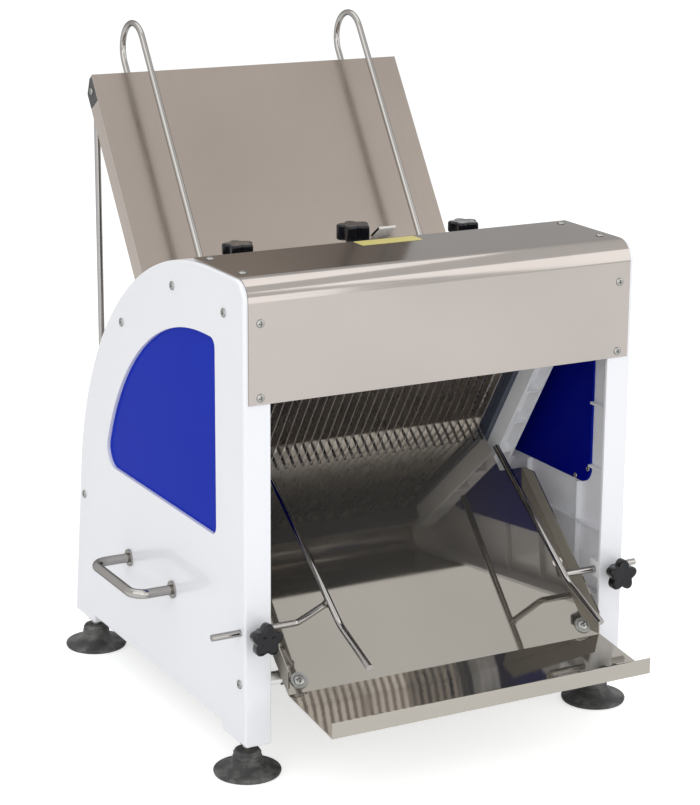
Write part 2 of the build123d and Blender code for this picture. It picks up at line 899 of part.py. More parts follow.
save(tray_brackets.part, "tray_brackets")

# Discharge guide: a rod through the panel with a bent neck and a long bar over the tray, flatter at its tip
joint_back = guide_axis_back - guide_joint_forward
joint_height = guide_axis_height + guide_joint_up
bar_up = unit(guide_bar_angle)
left_guide_shift = -4.0
right_guide_shift = -6.0


def discharge_guide(hand, shift):
    def place(x, back, height):
        return Vector(hand * x + shift, front_y + back, base_z + height)

    tail = place(guide_bend_offset + guide_tail, guide_axis_back, guide_axis_height)
    bend = place(guide_bend_offset, guide_axis_back, guide_axis_height)
    joint = place(guide_joint_offset, joint_back, joint_height)
    bar_x = hand * guide_joint_offset + shift
    bar_bend = Vector(joint_back, joint_height) - bar_up * guide_bar_drop
    low_end = bar_bend - unit(guide_tip_angle) * guide_tip
    high_end = Vector(joint_back, joint_height) + bar_up * guide_bar_up
    with BuildPart() as guide:
        with BuildLine() as arm:
            FilletPolyline(tail, bend, joint, radius=rod_diameter)
        with BuildSketch(Plane(origin=arm.wire() @ 0, z_dir=arm.wire() % 0)):
            Circle(rod_radius)
        sweep(path=arm.wire())
        with BuildLine() as bar:
            FilletPolyline(*[in_frame(bar_x, p) for p in (high_end, bar_bend, low_end)], radius=guide_bar_bend)
        with BuildSketch(Plane(origin=bar.wire() @ 0, z_dir=bar.wire() % 0)):
            Circle(rod_radius)
        sweep(path=bar.wire())
    return guide.part


save(discharge_guide(-1, left_guide_shift), "left_discharge_guide")
save(discharge_guide(1, right_guide_shift), "right_discharge_guide")

# Knobs on the panels' front edges that clamp the discharge guides
clamp_hub = 12.0
clamp_gap = 4.0
clamp_side = half_width - panel_thickness / 2
clamp_stud = clamp_gap + guide_axis_back - rod_radius - slide_gap


def clamp_knob(x):
    seat = Plane(
        origin=(x, front_y - clamp_gap, base_z + guide_axis_height), x_dir=(1, 0, 0), z_dir=(0, -1, 0)
    )
    return star_knob(seat, clamp_hub, clamp_stud)


save(clamp_knob(-clamp_side), "left_clamp_knob")
save(clamp_knob(clamp_side), "right_clamp_knob")

# Carrying handles on the panels' outer faces
handle_radius = handle_diameter / 2
handle_line = half_width + handle_reach - handle_radius
flange_radius = 11.0
flange_thickness = 2.5

with BuildPart() as left_handle:
    with BuildLine(level(handle_height)) as loop:
        FilletPolyline(
            (-half_width, handle_back - handle_span / 2),
            (-handle_line, handle_back - handle_span / 2),
            (-handle_line, handle_back + handle_span / 2),
            (-half_width, handle_back + handle_span / 2),
            radius=handle_corner,
        )
    with BuildSketch(Plane(origin=loop.wire() @ 0, z_dir=loop.wire() % 0)):
        Circle(handle_radius)
    sweep(path=loop.wire())
    with BuildSketch(side(-half_width)):
        with Locations(
            (handle_back - handle_span / 2, handle_height), (handle_back + handle_span / 2, handle_height)
        ):
            Circle(flange_radius)
    extrude(amount=-flange_thickness)

save(left_handle.part, "left_handle")
save(mirrored(left_handle.part), "right_handle")

# Feet: rubber bells on metal studs under the panels' pads
foot_side = half_width - panel_thickness / 2
foot_backs = [foot_set_in, panel_depth - foot_set_in]
foot_places = [(x, y) for x in (-foot_side, foot_side) for y in foot_backs]
foot_stem = 15.0
bell_height = foot_height - foot_stem
rim_height = 7.0
hub_start = bell_height - 10.0

with BuildPart() as feet:
    for x, y in foot_places:
        with BuildSketch(Plane(origin=(x, front_y + y, 0), x_dir=(1, 0, 0), z_dir=(0, -1, 0))):
            with BuildLine():
                Polyline((foot_radius - 2, 0), (0, 0), (0, bell_height), (foot_hub_radius, bell_height))
                Line((foot_hub_radius, bell_height), (foot_hub_radius, hub_start))
                Spline((foot_hub_radius, hub_start), (foot_radius - 10, rim_height + 3), (foot_radius, rim_height))
                Line((foot_radius, rim_height), (foot_radius - 2, 0))
            make_face()
        revolve(axis=Axis((x, front_y + y, 0), (0, 0, 1)))

save(feet.part, "feet")

nut_height = 7.0

with BuildPart() as foot_studs:
    with BuildSketch(Plane.XY.offset(bell_height)):
        with Locations(*[(x, front_y + y) for x, y in foot_places]):
            Circle(foot_stud_radius)
    extrude(amount=foot_height - bell_height)
    with BuildSketch(Plane.XY.offset(foot_height - nut_height)):
        with Locations(*[(x, front_y + y) for x, y in foot_places]):
            RegularPolygon(foot_stud_radius + 4, 6)
    extrude(amount=nut_height)

save(foot_studs.part, "foot_studs")

# Guide columns: moulded beams with a groove for the frame rails and pockets along the front
rail_half = blade_width / 2 + bar_to_blade
groove_depth = 6.0
rail_outer = column_inner + groove_depth - slide_gap
column_length = column_top - column_bottom
pocket_count = int(column_length // column_pocket_pitch)

with BuildPart() as left_guide_column:
    with BuildSketch(blade_cross(column_bottom)):
        with Locations((-panel_inner, -column_front)):
            Rectangle(column_width, column_front + column_rear, align=(Align.MIN, Align.MIN))
        with Locations((-column_inner, 0)):
            Rectangle(
                groove_depth, 2 * (rail_half + slide_gap), align=(Align.MAX, Align.CENTER), mode=Mode.SUBTRACT
            )
    extrude(amount=column_length)
    pocket_face = Plane(
        origin=in_frame(0, on_blade(0, -column_front)), x_dir=(1, 0, 0), z_dir=(0, -lean_back.X, -lean_back.Y)
    )
    with BuildSketch(pocket_face):
        for i in range(pocket_count):
            with Locations((-(panel_inner + column_inner) / 2, column_bottom + (i + 0.5) * column_pocket_pitch)):
                Rectangle(column_width - 2 * column_wall, column_pocket_pitch - column_wall)
    extrude(amount=-column_pocket_depth, mode=Mode.SUBTRACT)

save(left_guide_column.part, "left_guide_column")
save(mirrored(left_guide_column.part), "right_guide_column")

# Blade frames: the front one rests at the top of its stroke, the rear one at the bottom
front_rest = throw
rear_rest = -throw


def frame_bar(along, facing, rest):
    # a cross bar whose face lies just off the blades; facing is -1 in front of them, 1 behind
    with BuildPart() as bar:
        with BuildSketch(blade_cross(along + rest - bar_height / 2)):
            with Locations((0, facing * (rail_half + bar_depth / 2))):
                Rectangle(2 * column_inner - 2 * slide_gap, bar_depth)
        extrude(amount=bar_height)
    return bar.part


def lower_bar(facing, rest, lug_place):
    # the lower bar has two lugs that reach down to the connecting rods
    with BuildPart() as bar:
        add(frame_bar(blade_bottom, facing, rest))
        for hand in (-1, 1):
            with BuildSketch(blade_side(hand * lug_place - lug_width / 2)):
                start = blade_bottom + rest
                with BuildLine():
                    Polyline(
                        (facing * (rail_half + bar_depth), start - bar_height / 2),
                        (facing * rail_half, start - bar_height / 2),
                        (-facing * eye_radius * 0.6, start - lug_drop),
                        (facing * eye_radius * 0.8, start - lug_drop),
                        close=True,
                    )
                make_face()
                with Locations((0, start - lug_drop)):
                    Circle(eye_radius)
                    Circle(pin_radius + running, mode=Mode.SUBTRACT)
            extrude(amount=lug_width)
    return bar.part


def frame_rails(facing, rest):
    # two side rails that run in the columns' grooves, half of the groove for each frame
    with BuildPart() as rails:
        with BuildSketch(blade_cross(blade_bottom + rest - bar_height / 2)):
            for hand in (-1, 1):
                with Locations((hand * (rail_inner + rail_outer) / 2, facing * (rail_half + rail_gap / 2) / 2)):
                    Rectangle(rail_outer - rail_inner, rail_half - rail_gap / 2)
        extrude(amount=blade_top - blade_bottom + bar_height)
    return rails.part


def blade_set(places, rest):
    # thin blades with teeth along the edge that meets the loaf
    low = blade_bottom + rest - bar_height / 2
    high = blade_top + rest + bar_height / 2
    first_tooth = -3 * tooth_pitch + rest
    teeth = int((blade_top - first_tooth + rest) // tooth_pitch) - 3
    with BuildPart() as blades:
        with BuildSketch(*[blade_side(x - blade_thickness / 2) for x in places]):
            with BuildLine():
                points = [(-blade_width / 2, low), (blade_width / 2, low)]
                for i in range(teeth):
                    start = first_tooth + i * tooth_pitch
                    points.append((blade_width / 2, start))
                    points.append((blade_width / 2 - tooth_depth, start + tooth_pitch / 2))
                points.append((blade_width / 2, first_tooth + teeth * tooth_pitch))
                points.append((blade_width / 2, high))
                points.append((-blade_width / 2, high))
                Polyline(*points, close=True)
            make_face()
        extrude(amount=blade_thickness)
    return blades.part


def blade_clips(places, facing, rest):
    # slotted blocks that hold the blade ends on the bars
    clip_depth = rail_half + blade_width / 2
    with BuildPart() as clips:
        for along in (blade_bottom, blade_top):
            with BuildSketch(blade_cross(along + rest - bar_height / 2)):
                with Locations(*[(x, facing * rail_half) for x in places]):
                    Rectangle(
                        clip_width,
                        clip_depth,
                        align=(Align.CENTER, Align.MAX if facing > 0 else Align.MIN),
                    )
                with Locations(*[(x, -facing * blade_width / 2) for x in places]):
                    Rectangle(
                        blade_thickness + 2 * running,
                        blade_width + running,
                        align=(Align.CENTER, Align.MIN if facing > 0 else Align.MAX),
                        mode=Mode.SUBTRACT,
                    )
            extrude(amount=bar_height)
    return clips.part


for name, facing, rest, places, lug_place in (
    ("front", -1, front_rest, front_places, front_lug_place),
    ("rear", 1, rear_rest, rear_places, rear_lug_place),
):
    save(frame_bar(blade_top, facing, rest), f"{name}_upper_bar")
    save(lower_bar(facing, rest, lug_place), f"{name}_lower_bar")
    save(frame_rails(facing, rest), f"{name}_frame_rails")
    save(blade_set(places, rest), f"{name}_blades")
    save(blade_clips(places, facing, rest), f"{name}_blade_clips")

# Crankshaft with four eccentrics, two for each frame, half a turn apart
eccentric_radius = throw + crank_radius + eccentric_rim
shaft_half = wall_inner - 6
rod_side = lug_width / 2 + open_gap + conrod_width / 2
front_rod_place = front_lug_place + rod_side
rear_rod_place = rear_lug_place - rod_side
front_eccentric = on_blade(-crank_below_meet + throw, 0)
rear_eccentric = on_blade(-crank_below_meet - throw, 0)

with BuildPart() as crankshaft:
    with BuildSketch(side(-shaft_half)):
        with Locations(crank):
            Circle(crank_radius)
    extrude(amount=2 * shaft_half)
    for centre, place in ((front_eccentric, front_rod_place), (rear_eccentric, rear_rod_place)):
        for hand in (-1, 1):
            with BuildSketch(side(hand * place - conrod_width / 2)):
                with Locations(centre):
                    Circle(eccentric_radius)
            extrude(amount=conrod_width)

save(crankshaft.part, "crankshaft")


def conrods(centre, place, rest):
    # two rods with a ring on the eccentric and an eye that carries the frame's pin
    eye = on_blade(blade_bottom + rest - lug_drop, 0)
    middle = (centre + eye) * 0.5
    ring = eccentric_radius + running
    with BuildPart() as rods:
        for hand in (-1, 1):
            with BuildSketch(side(hand * place - conrod_width / 2)):
                with Locations(centre):
                    Circle(ring + conrod_ring)
                with Locations(eye):
                    Circle(eye_radius)
                with Locations(middle):
                    Rectangle(2 * eye_radius * 0.8, (eye - centre).length, rotation=blade_lean)
                with Locations(centre):
                    Circle(ring, mode=Mode.SUBTRACT)
                with Locations(eye):
                    Circle(pin_radius, mode=Mode.SUBTRACT)
            extrude(amount=conrod_width)
    return rods.part


def wrist_pins(eye, place):
    # pins in the rods' eyes, which stop just short of the frame's lugs
    with BuildPart() as pins:
        for hand in (-1, 1):
            with BuildSketch(side(hand * place - conrod_width / 2)):
                with Locations(eye):
                    Circle(pin_radius)
            extrude(amount=conrod_width)
    return pins.part


front_eye = on_blade(blade_bottom + front_rest - lug_drop, 0)
rear_eye = on_blade(blade_bottom + rear_rest - lug_drop, 0)
save(conrods(front_eccentric, front_rod_place, front_rest), "front_conrods")
save(conrods(rear_eccentric, rear_rod_place, rear_rest), "rear_conrods")
save(wrist_pins(front_eye, front_rod_place), "front_wrist_pins")
save(wrist_pins(rear_eye, rear_rod_place), "rear_wrist_pins")

# Bearing blocks on the panels' inner walls
with BuildPart() as bearing_blocks:
    with BuildSketch(side(-wall_inner)):
        with Locations(crank):
            Rectangle(2 * bearing_half, 2 * bearing_half)
            Circle(crank_radius + running, mode=Mode.SUBTRACT)
    extrude(amount=bearing_depth)
    mirror(about=Plane.YZ)

save(bearing_blocks.part, "bearing_blocks")

# Belt drive: V pulleys on the crankshaft and the motor shaft, and the belt between them
motor_axis = Vector(motor_back, motor_axis_height)
pulley_width = belt_width + 8.0
belt_taper = belt_depth * tan(radians(18))


def pulley(centre, radius, bore):
    # radius is that of the groove's floor, below the belt
    rim = radius + pulley_rim
    with BuildPart() as wheel:
        with BuildSketch(side(belt_plane - pulley_width / 2)):
            with Locations(centre):
                Circle(rim)
                Circle(bore + running, mode=Mode.SUBTRACT)
        extrude(amount=pulley_width)
        with BuildSketch(Plane(origin=in_frame(belt_plane, centre), x_dir=(1, 0, 0), z_dir=(0, -1, 0))):
            with BuildLine():
                Polyline(
                    (-belt_width / 2 - open_gap + belt_taper, radius),
                    (belt_width / 2 + open_gap - belt_taper, radius),
                    (belt_width / 2 + open_gap + 1, rim + 1),
                    (-belt_width / 2 - open_gap - 1, rim + 1),
                    close=True,
                )
            make_face()
        revolve(axis=Axis(in_frame(belt_plane, centre), (1, 0, 0)), mode=Mode.SUBTRACT)
    return wheel.part


save(pulley(crank, driven_pulley_radius, crank_radius), "driven_pulley")
save(pulley(motor_axis, motor_pulley_radius, motor_shaft_radius), "motor_pulley")

belt_gap = open_gap
span = motor_axis - crank
span_length = hypot(span.X, span.Y)
span_angle = degrees(atan2(span.Y, span.X))
belt_swing = degrees(acos((driven_pulley_radius - motor_pulley_radius) / span_length))


def belt_loop(extra):
    # closed line round both pulleys, extra beyond the groove floors
    big = driven_pulley_radius + belt_gap + extra
    small = motor_pulley_radius + belt_gap + extra
    top = unit(span_angle + belt_swing)
    bottom = unit(span_angle - belt_swing)
    along = unit(span_angle)
    Line(crank + top * big, motor_axis + top * small)
    ThreePointArc(motor_axis + top * small, motor_axis + along * small, motor_axis + bottom * small)
    Line(motor_axis + bottom * small, crank + bottom * big)
    ThreePointArc(crank + bottom * big, crank - along * big, crank + top * big)


belt_half = belt_width / 2 - belt_taper

with BuildPart() as drive_belt:
    with BuildSketch(side(belt_plane - belt_half)):
        with BuildLine():
            belt_loop(belt_depth)
        make_face()
        with BuildLine():
            belt_loop(0)
        make_face(mode=Mode.SUBTRACT)
    extrude(amount=2 * belt_half)

save(drive_belt.part, "drive_belt")

# Motor on a plate between the panels
motor_end = belt_plane - pulley_width / 2 - 14
motor_start = motor_end - motor_length
fin_count = 16
fin_depth = 4.0
fan_cover = 34.0
motor_foot_width = 96.0
motor_plate_height = 16.0
motor_plate_thickness = 4.0

with BuildPart() as motor:
    with BuildSketch(side(motor_start)):
        with Locations(motor_axis):
            Circle(motor_radius)
    extrude(amount=motor_length)
    with BuildSketch(side(motor_start + fan_cover)):
        with Locations(motor_axis):
            with PolarLocations(motor_radius, fin_count):
                Rectangle(2 * fin_depth, 6, mode=Mode.ADD)
            Circle(motor_radius - fin_depth, mode=Mode.SUBTRACT)
            Circle(motor_radius + 1, mode=Mode.INTERSECT)
    extrude(amount=motor_length - 2 * fan_cover, mode=Mode.SUBTRACT)
    with BuildSketch(side(motor_start + fan_cover)):
        with Locations((motor_back, motor_plate_height)):
            Rectangle(motor_foot_width, motor_axis_height - motor_plate_height - motor_radius * 0.7,
                      align=(Align.CENTER, Align.MIN))
    extrude(amount=motor_length - 2 * fan_cover)

save(motor.part, "motor")

with BuildPart() as motor_shaft:
    with BuildSketch(side(motor_end + open_gap)):
        with Locations(motor_axis):
            Circle(motor_shaft_radius)
    extrude(amount=belt_plane + pulley_width / 2 - motor_end - open_gap)

save(motor_shaft.part, "motor_shaft")

plate_front = motor_back - motor_foot_width / 2 - 12
plate_rear = motor_back + motor_foot_width / 2 + 4
plate_tab = 24.0

with BuildPart() as motor_plate:
    with BuildSketch(side(-panel_inner)):
        with BuildLine():
            Polyline(
                (plate_front, motor_plate_height),
                (plate_rear, motor_plate_height),
                (plate_rear, motor_plate_height - motor_plate_thickness),
                (plate_front, motor_plate_height - motor_plate_thickness),
                close=True,
            )
        make_face()
    extrude(amount=2 * panel_inner)
    for hand in (-1, 1):
        with BuildSketch(side(hand * panel_inner)):
            with Locations((plate_front, motor_plate_height)):
                Rectangle(plate_rear - plate_front, plate_tab, align=(Align.MIN, Align.MIN))
        extrude(amount=-hand * motor_plate_thickness)

save(motor_plate.part, "motor_plate")

# Rear cover: a curved sheet between the panels that follows their rear edge
rear_cover_top = 46.0
rear_cover_low = 70.0
rear_low = heel + (crown_end - heel).normalized() * rear_cover_low
rear_inward = unit(heel_angle)
rear_half = panel_inner


def rear_line(depth):
    Line(rear_low - rear_inward * depth, crown_end - rear_inward * depth)
    ThreePointArc(
        crown_end - rear_inward * depth,
        crown + unit((heel_angle + rear_cover_top) / 2) * (panel_crown_radius - depth),
        crown + unit(rear_cover_top) * (panel_crown_radius - depth),
    )


with BuildPart() as rear_cover:
    with BuildSketch(side(-rear_half)):
        with BuildLine():
            rear_line(0)
            rear_line(sheet)
            Line(rear_low, rear_low - rear_inward * sheet)
            Line(
                crown + unit(rear_cover_top) * panel_crown_radius,
                crown + unit(rear_cover_top) * (panel_crown_radius - sheet),
            )
        make_face()
    extrude(amount=2 * rear_half)

save(rear_cover.part, "rear_cover")

# Switch box on the right panel, with a start and a stop button
switch_back = panel_depth - 93
switch_height = 120.0
switch_box_width = 46.0
switch_box_height = 84.0
switch_box_depth = 30.0
button_radius = 11.0
button_pitch = 36.0
button_length = 14.0
button_travel = 4.0

with BuildPart() as switch_box:
    with BuildSketch(side(half_width)):
        with Locations((switch_back, switch_height)):
            RectangleRounded(switch_box_width, switch_box_height, 6)
    extrude(amount=switch_box_depth)
    with BuildSketch(side(half_width + switch_box_depth)):
        with Locations((switch_back, switch_height)):
            with GridLocations(0, button_pitch, 1, 2):
                Circle(button_radius + slide_gap)
    extrude(amount=-button_length, mode=Mode.SUBTRACT)

save(switch_box.part, "switch_box")

for name, up in (("start_button", 1), ("stop_button", -1)):
    with BuildPart() as button:
        with BuildSketch(side(half_width + switch_box_depth - button_length + button_travel + 1)):
            with Locations((switch_back, switch_height + up * button_pitch / 2)):
                Circle(button_radius)
        extrude(amount=button_length)
    save(button.part, name)
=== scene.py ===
import json
import math

import bmesh
import bpy
from mathutils import Matrix, Vector


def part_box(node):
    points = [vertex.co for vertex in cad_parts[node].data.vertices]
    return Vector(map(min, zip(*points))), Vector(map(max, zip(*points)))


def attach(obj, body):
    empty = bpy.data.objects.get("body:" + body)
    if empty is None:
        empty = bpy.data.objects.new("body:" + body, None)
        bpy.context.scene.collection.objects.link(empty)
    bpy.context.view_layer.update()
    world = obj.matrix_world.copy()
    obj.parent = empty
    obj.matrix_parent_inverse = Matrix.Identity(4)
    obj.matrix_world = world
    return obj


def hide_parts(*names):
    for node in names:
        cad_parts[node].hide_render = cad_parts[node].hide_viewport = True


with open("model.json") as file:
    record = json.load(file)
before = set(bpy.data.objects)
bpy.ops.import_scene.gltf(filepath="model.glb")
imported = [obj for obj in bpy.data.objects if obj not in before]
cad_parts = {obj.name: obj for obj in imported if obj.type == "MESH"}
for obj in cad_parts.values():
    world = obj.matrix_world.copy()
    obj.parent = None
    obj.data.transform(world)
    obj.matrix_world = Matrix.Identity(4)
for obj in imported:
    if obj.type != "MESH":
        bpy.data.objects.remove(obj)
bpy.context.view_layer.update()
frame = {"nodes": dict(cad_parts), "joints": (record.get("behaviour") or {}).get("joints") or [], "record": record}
nodes = frame["nodes"]
joints = {j["name"]: j for j in frame["joints"]}

MM = 0.001
# edges of new pieces that turn by more than this stay sharp
SHARP_ANGLE = math.radians(38)
# points of a CAD mesh that lie closer than this count as one
WELD_GAP = 0.002 * MM
# most of a noise texture lies between these values
NOISE_LOW = 0.3
NOISE_HIGH = 0.7


def math_node(tree, operation, *values):
    """A math node of a shader tree, fed by the given outputs."""
    node = tree.nodes.new("ShaderNodeMath")
    node.operation = operation
    for value, socket in zip(values, node.inputs):
        tree.links.new(value, socket)
    return node


class Shader:
    """A node material with a principled shader and short helpers for its textures."""

    def __init__(self, name, color, rough, metal=0.0, coat=0.0):
        self.mat = bpy.data.materials.new(name)
        self.mat.use_nodes = True
        self.tree = self.mat.node_tree
        self.bsdf = self.tree.nodes["Principled BSDF"]
        self.bsdf.inputs["Base Color"].default_value = (*color, 1)
        self.bsdf.inputs["Roughness"].default_value = rough
        self.bsdf.inputs["Metallic"].default_value = metal
        self.bsdf.inputs["Coat Weight"].default_value = coat
        self.color = color
        self.coords = self.tree.nodes.new("ShaderNodeTexCoord")

    def link(self, source, socket):
        self.tree.links.new(source, socket)

    def set_shine(self, shine):
        """How strongly a surface that is not metal reflects."""
        self.bsdf.inputs["Specular IOR Level"].default_value = shine

    def set_rim(self, rim):
        """How bright metal is at a low angle. Below 1 it is duller there."""
        self.bsdf.inputs["Specular Tint"].default_value = (rim, rim, rim, 1)

    def noise(self, scale, detail, stretch=(1, 1, 1)):
        mapping = self.tree.nodes.new("ShaderNodeMapping")
        mapping.inputs["Scale"].default_value = stretch
        self.link(self.coords.outputs["Object"], mapping.inputs["Vector"])
        texture = self.tree.nodes.new("ShaderNodeTexNoise")
        texture.inputs["Scale"].default_value = scale
        texture.inputs["Detail"].default_value = detail
        self.link(mapping.outputs["Vector"], texture.inputs["Vector"])
        return texture.outputs["Fac"]

    def facing_x(self):
        """How far the surface faces +X, from -1 to 1."""
        split = self.tree.nodes.new("ShaderNodeSeparateXYZ")
        self.link(self.coords.outputs["Normal"], split.inputs["Vector"])
        return split.outputs["X"]

    def spread(self, value, low, high, start=NOISE_LOW, stop=NOISE_HIGH):
        """A value that goes from low to high while the given one goes from start to stop."""
        node = self.tree.nodes.new("ShaderNodeMapRange")
        node.inputs["From Min"].default_value = start
        node.inputs["From Max"].default_value = stop
        node.inputs["To Min"].default_value = low
        node.inputs["To Max"].default_value = high
        self.link(value, node.inputs["Value"])
        return node.outputs["Result"]

    def vary_rough(self, value, low, high):
        self.link(self.spread(value, low, high), self.bsdf.inputs["Roughness"])

    def vary_color(self, value, other, start=NOISE_LOW, stop=NOISE_HIGH):
        """The shader's own color up to start, and the other one from stop on."""
        ramp = self.tree.nodes.new("ShaderNodeValToRGB")
        ramp.color_ramp.elements[0].position = start
        ramp.color_ramp.elements[0].color = (*self.color, 1)
        ramp.color_ramp.elements[1].position = stop
        ramp.color_ramp.elements[1].color = (*other, 1)
        self.link(value, ramp.inputs["Fac"])
        self.link(ramp.outputs["Color"], self.bsdf.inputs["Base Color"])

    def bump(self, value, strength, distance, edge=0.0):
        node = self.tree.nodes.new("ShaderNodeBump")
        node.inputs["Strength"].default_value = strength
        node.inputs["Distance"].default_value = distance
        self.link(value, node.inputs["Height"])
        if edge:
            # edges catch the light as if rounded by this radius
            bevel = self.tree.nodes.new("ShaderNodeBevel")
            bevel.inputs["Radius"].default_value = edge
            self.link(bevel.outputs["Normal"], node.inputs["Normal"])
        self.link(node.outputs["Normal"], self.bsdf.inputs["Normal"])


def shade(color, factor):
    return tuple(c * factor for c in color)


def satin(name, color, rough, stretch, grain=0.03, rim=1.0):
    """Rolled sheet: faint lines drawn out along one direction, over slow changes of tone."""
    s = Shader(name, color, rough, metal=1.0)
    s.set_rim(rim)
    lines = s.noise(scale=1400, detail=3, stretch=stretch)
    s.vary_rough(lines, rough - 0.03, rough + 0.05)
    s.vary_color(s.noise(scale=5, detail=3), shade(color, 0.93))
    s.bump(lines, grain, distance=0.05 * MM)
    return s.mat


def polished(name, color, rough, flange_rough):
    """Mirror sheet with slow waves and a haze of smears. Flanges that face sideways are duller."""
    s = Shader(name, color, rough, metal=0.9)
    haze = s.spread(s.noise(scale=9, detail=5), rough * 0.7, rough * 1.6)
    sideways = math_node(s.tree, "ABSOLUTE", s.facing_x()).outputs[0]
    flange = s.spread(sideways, 0, flange_rough, start=0.8, stop=0.95)
    duller = math_node(s.tree, "MAXIMUM", haze, flange).outputs[0]
    s.link(duller, s.bsdf.inputs["Roughness"])
    s.vary_color(s.noise(scale=4, detail=3), shade(color, 0.92))
    s.bump(s.noise(scale=7, detail=1), strength=0.05, distance=2 * MM)
    return s.mat


def painted(name, color, rough):
    """Sprayed enamel with a faint orange peel."""
    s = Shader(name, color, rough, coat=0.3)
    s.vary_color(s.noise(scale=4, detail=3), shade(color, 0.97))
    s.vary_rough(s.noise(scale=12, detail=2), rough - 0.02, rough + 0.03)
    s.bump(s.noise(scale=420, detail=2), strength=0.03, distance=0.3 * MM, edge=1.5 * MM)
    return s.mat


def moulded(name, color, rough, grain=500, peel=0.1, shine=0.5):
    """Moulded plastic, rubber or cast metal with a fine grain."""
    s = Shader(name, color, rough)
    s.set_shine(shine)
    s.vary_color(s.noise(scale=7, detail=3), shade(color, 0.92))
    s.vary_rough(s.noise(scale=60, detail=3), rough - 0.03, rough + 0.06)
    s.bump(s.noise(scale=grain, detail=3), peel, distance=0.5 * MM, edge=0.7 * MM)
    return s.mat


def window_sheet(name, hand):
    """Blue sheet with painted shade on its back, the side that faces into the machine, which is drawn a darker
    blue. Hand is 1 on the machine's right, -1 on its left.
    """
    blue = (0.012, 0.034, 0.46)
    # darker blue that paints shade on the side facing into the machine
    back = (0.002, 0.004, 0.2)
    rough = 0.15
    # how far the inner side takes the painted shade
    painted_shade_share = 0.9
    mottle_share = 0.1
    s = Shader(name, blue, rough)
    s.set_shine(0.01)
    facing_left = painted_shade_share * (1 + hand) / 2
    facing_right = painted_shade_share * (1 - hand) / 2
    # faces turned into the machine take the painted shade; the mottle is the sheet's own random tone
    inner = s.spread(s.facing_x(), facing_left, facing_right, start=-0.5, stop=0.5)
    mottle = s.spread(s.noise(scale=7, detail=3), 0, mottle_share)
    s.vary_color(math_node(s.tree, "ADD", inner, mottle).outputs[0], back, start=0, stop=1)
    s.vary_rough(s.noise(scale=60, detail=3), rough - 0.03, rough + 0.06)
    s.bump(s.noise(scale=200, detail=3), strength=0.01, distance=0.5 * MM, edge=0.7 * MM)
    return s.mat


def dusty(name, color, dust, rough):
    """Rubber with pale dust in patches."""
    s = Shader(name, color, rough)
    s.vary_color(s.noise(scale=55, detail=6), dust, start=0.45, stop=0.75)
    s.vary_rough(s.noise(scale=80, detail=3), rough - 0.08, rough + 0.12)
    s.bump(s.noise(scale=900, detail=4), strength=0.3, distance=0.5 * MM)
    return s.mat


def plated(name, color, rough, rim=1.0):
    """Bright plated or bare metal with faint stains."""
    s = Shader(name, color, rough, metal=1.0)
    s.set_rim(rim)
    s.vary_rough(s.noise(scale=50, detail=4), rough * 0.8, rough * 1.35)
    s.vary_color(s.noise(scale=18, detail=4), shade(color, 0.94))
    s.bump(s.noise(scale=700, detail=2), strength=0.015, distance=0.2 * MM)
    return s.mat


# stretches of a noise texture that draw it out into lines
ALONG_X = (0.01, 1, 1)
ALONG_YZ = (1, 0.02, 0.02)

# the look of each material slot, from its color and roughness
looks = {
    "white_panel": painted("enamel_white", (0.86, 0.865, 0.895), 0.30),
    "blue_window": window_sheet("window_left", hand=-1),
    "screw_steel": plated("screw_zinc", (0.34, 0.34, 0.33), 0.25, rim=0.35),
    "cover_steel": satin("cover_satin", (0.415, 0.38, 0.356), 0.10, ALONG_X, grain=0.02, rim=0.5),
    "chute_steel": satin("chute_satin", (0.375, 0.325, 0.285), 0.22, ALONG_YZ),
    "tray_steel": polished("tray_mirror", (0.40, 0.375, 0.335), 0.04, flange_rough=0.6),
    "chrome_rod": plated("chrome", (0.37, 0.355, 0.34), 0.11, rim=0.3),
    "black_knob": moulded("knob_phenolic", (0.007, 0.007, 0.009), 0.15, grain=700, peel=0.02, shine=0.3),
    "black_bracket": moulded("bracket_nylon", (0.018, 0.018, 0.018), 0.45),
    "rod_steel": plated("rod_zinc", (0.38, 0.37, 0.36), 0.24, rim=0.3),
    "column_white": moulded("column_nylon", (0.92, 0.925, 0.94), 0.36, grain=400, peel=0.05),
    "blade_steel": satin("blade_steel", (0.60, 0.575, 0.55), 0.27, ALONG_YZ),
    "frame_grey": painted("frame_enamel", (0.045, 0.055, 0.085), 0.4),
    "drive_steel": plated("drive_steel", (0.38, 0.38, 0.37), 0.32),
    "pulley_iron": moulded("pulley_iron", (0.09, 0.09, 0.09), 0.5, grain=300, peel=0.3),
    "belt_rubber": moulded("belt_rubber", (0.015, 0.015, 0.015), 0.6),
    "motor_paint": painted("motor_enamel", (0.10, 0.11, 0.13), 0.45),
    "foot_rubber": dusty("foot_rubber", (0.040, 0.040, 0.039), dust=(0.17, 0.166, 0.158), rough=0.66),
    "switch_black": moulded("switch_case", (0.02, 0.02, 0.022), 0.4),
    "start_green": moulded("start_cap", (0.02, 0.30, 0.05), 0.25),
    "stop_red": moulded("stop_cap", (0.45, 0.012, 0.01), 0.25),
}


def dress(node, material):
    materials = nodes[node].data.materials
    materials.clear()
    materials.append(material)


for entry in frame["record"]["subparts"]:
    dress(entry["node"], looks[entry["material_slot"]])
# single nodes that differ from the rest of their slot
dress("tie_rods", plated("tie_zinc", (0.74, 0.74, 0.73), 0.34))
dress("right_window_plate", window_sheet("window_right", hand=1))
for node in ("infeed_bar", "height_stop"):
    dress(node, satin(node + "_satin", (0.62, 0.60, 0.575), 0.26, ALONG_X, grain=0.02, rim=0.7))


